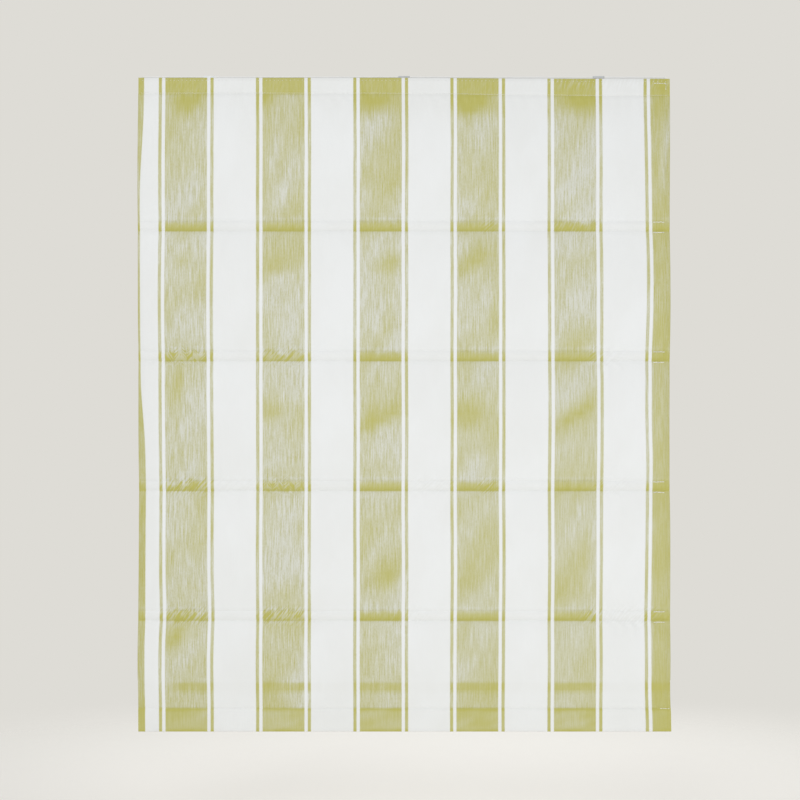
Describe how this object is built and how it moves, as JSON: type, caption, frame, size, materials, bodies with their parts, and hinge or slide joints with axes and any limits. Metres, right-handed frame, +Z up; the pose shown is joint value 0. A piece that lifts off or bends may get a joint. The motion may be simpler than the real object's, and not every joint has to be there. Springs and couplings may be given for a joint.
{
  "type": "roman blind",
  "caption": "Lowered roman blind: a lined panel of striped silk with stitched rod pockets and a hemmed bottom bar, hung from a slim sprung headrail on top-fix clips.",
  "frame": {"origin": "middle of the centre fixing clip's two screw holes, on the plane that is screwed up to the lintel", "axes": "+Z up, -Y towards the room, +X to the right as seen from the room"},
  "size_m": [1.2, 0.0554, 1.482],
  "materials": {
    "silk": "woven stripes, soft satin sheen",
    "lining": "plain cotton",
    "tape": "woven tape",
    "grip": "hook and loop pile",
    "cord": "braided",
    "rail": "white powder coat",
    "bar": "satin",
    "white_plastic": "moulded",
    "clear_plastic": "moulded",
    "dark_plastic": "moulded",
    "fibreglass": "pulled rod",
    "steel": "zinc plated"
  },
  "bodies": {
    "headrail": {"headrail": "rail", "end_cap_left": "white_plastic", "end_cap_right": "white_plastic", "end_cap_screws": "steel", "fixing_clip_left": "steel", "fixing_clip_centre": "steel", "fixing_clip_right": "steel", "hook_tape": "grip", "loop_tape": "grip", "lift_spring": "steel", "spring_anchor": "dark_plastic", "face_fabric": "silk", "lining": "lining", "spool_cradle_1": "white_plastic", "spool_cradle_2": "white_plastic", "spool_cradle_3": "white_plastic", "spool_cradle_4": "white_plastic", "lift_cord_1": "cord", "lift_cord_2": "cord", "lift_cord_3": "cord", "lift_cord_4": "cord"},
    "drive": {"drive_shaft": "steel", "spring_driver": "dark_plastic", "cord_spool_1": "white_plastic", "cord_spool_2": "white_plastic", "cord_spool_3": "white_plastic", "cord_spool_4": "white_plastic"},
    "bottom_bar": {"bottom_bar": "bar", "bar_caps": "white_plastic", "cord_anchors": "clear_plastic", "cord_stops": "clear_plastic"},
    "rod_1": {"rod_1": "fibreglass", "rod_tips_1": "white_plastic", "rod_tape_1": "tape", "rod_clips_1": "clear_plastic"},
    "rod_2": {"rod_2": "fibreglass", "rod_tips_2": "white_plastic", "rod_tape_2": "tape", "rod_clips_2": "clear_plastic"},
    "rod_3": {"rod_3": "fibreglass", "rod_tips_3": "white_plastic", "rod_tape_3": "tape", "rod_clips_3": "clear_plastic"},
    "rod_4": {"rod_4": "fibreglass", "rod_tips_4": "white_plastic", "rod_tape_4": "tape", "rod_clips_4": "clear_plastic"}
  },
  "joints": [
    {"name": "lift", "type": "slide", "parent": "headrail", "child": "bottom_bar", "axis": [0, 0, 1], "range_m": [0, 1.1], "deforming": ["face_fabric", "lining", "lift_cord_1", "lift_cord_2", "lift_cord_3", "lift_cord_4"]},
    {"name": "rod_1_lift", "type": "slide", "parent": "headrail", "child": "rod_1", "axis": [0, 0, 1], "range_m": [0, 0.237]},
    {"name": "rod_2_lift", "type": "slide", "parent": "headrail", "child": "rod_2", "axis": [0, 0, 1], "range_m": [0, 0.4695]},
    {"name": "rod_3_lift", "type": "slide", "parent": "headrail", "child": "rod_3", "axis": [0, 0, 1], "range_m": [0, 0.7019]},
    {"name": "rod_4_lift", "type": "slide", "parent": "headrail", "child": "rod_4", "axis": [0, 0, 1], "range_m": [0, 0.9343]},
    {"name": "drive_turn", "type": "hinge", "parent": "headrail", "child": "drive", "pos_m": [0, -0.004, -0.0222], "axis": [-1, 0, 0], "range_deg": [0, 6570]}
  ],
  "couplings": [
    {"joint": "rod_1_lift", "follows": "lift", "ratio": 0.21544},
    {"joint": "rod_2_lift", "follows": "lift", "ratio": 0.42675},
    {"joint": "rod_3_lift", "follows": "lift", "ratio": 0.63805},
    {"joint": "rod_4_lift", "follows": "lift", "ratio": 0.84935},
    {"joint": "drive_turn", "follows": "lift", "rad_per_m": 104.17}
  ]
}
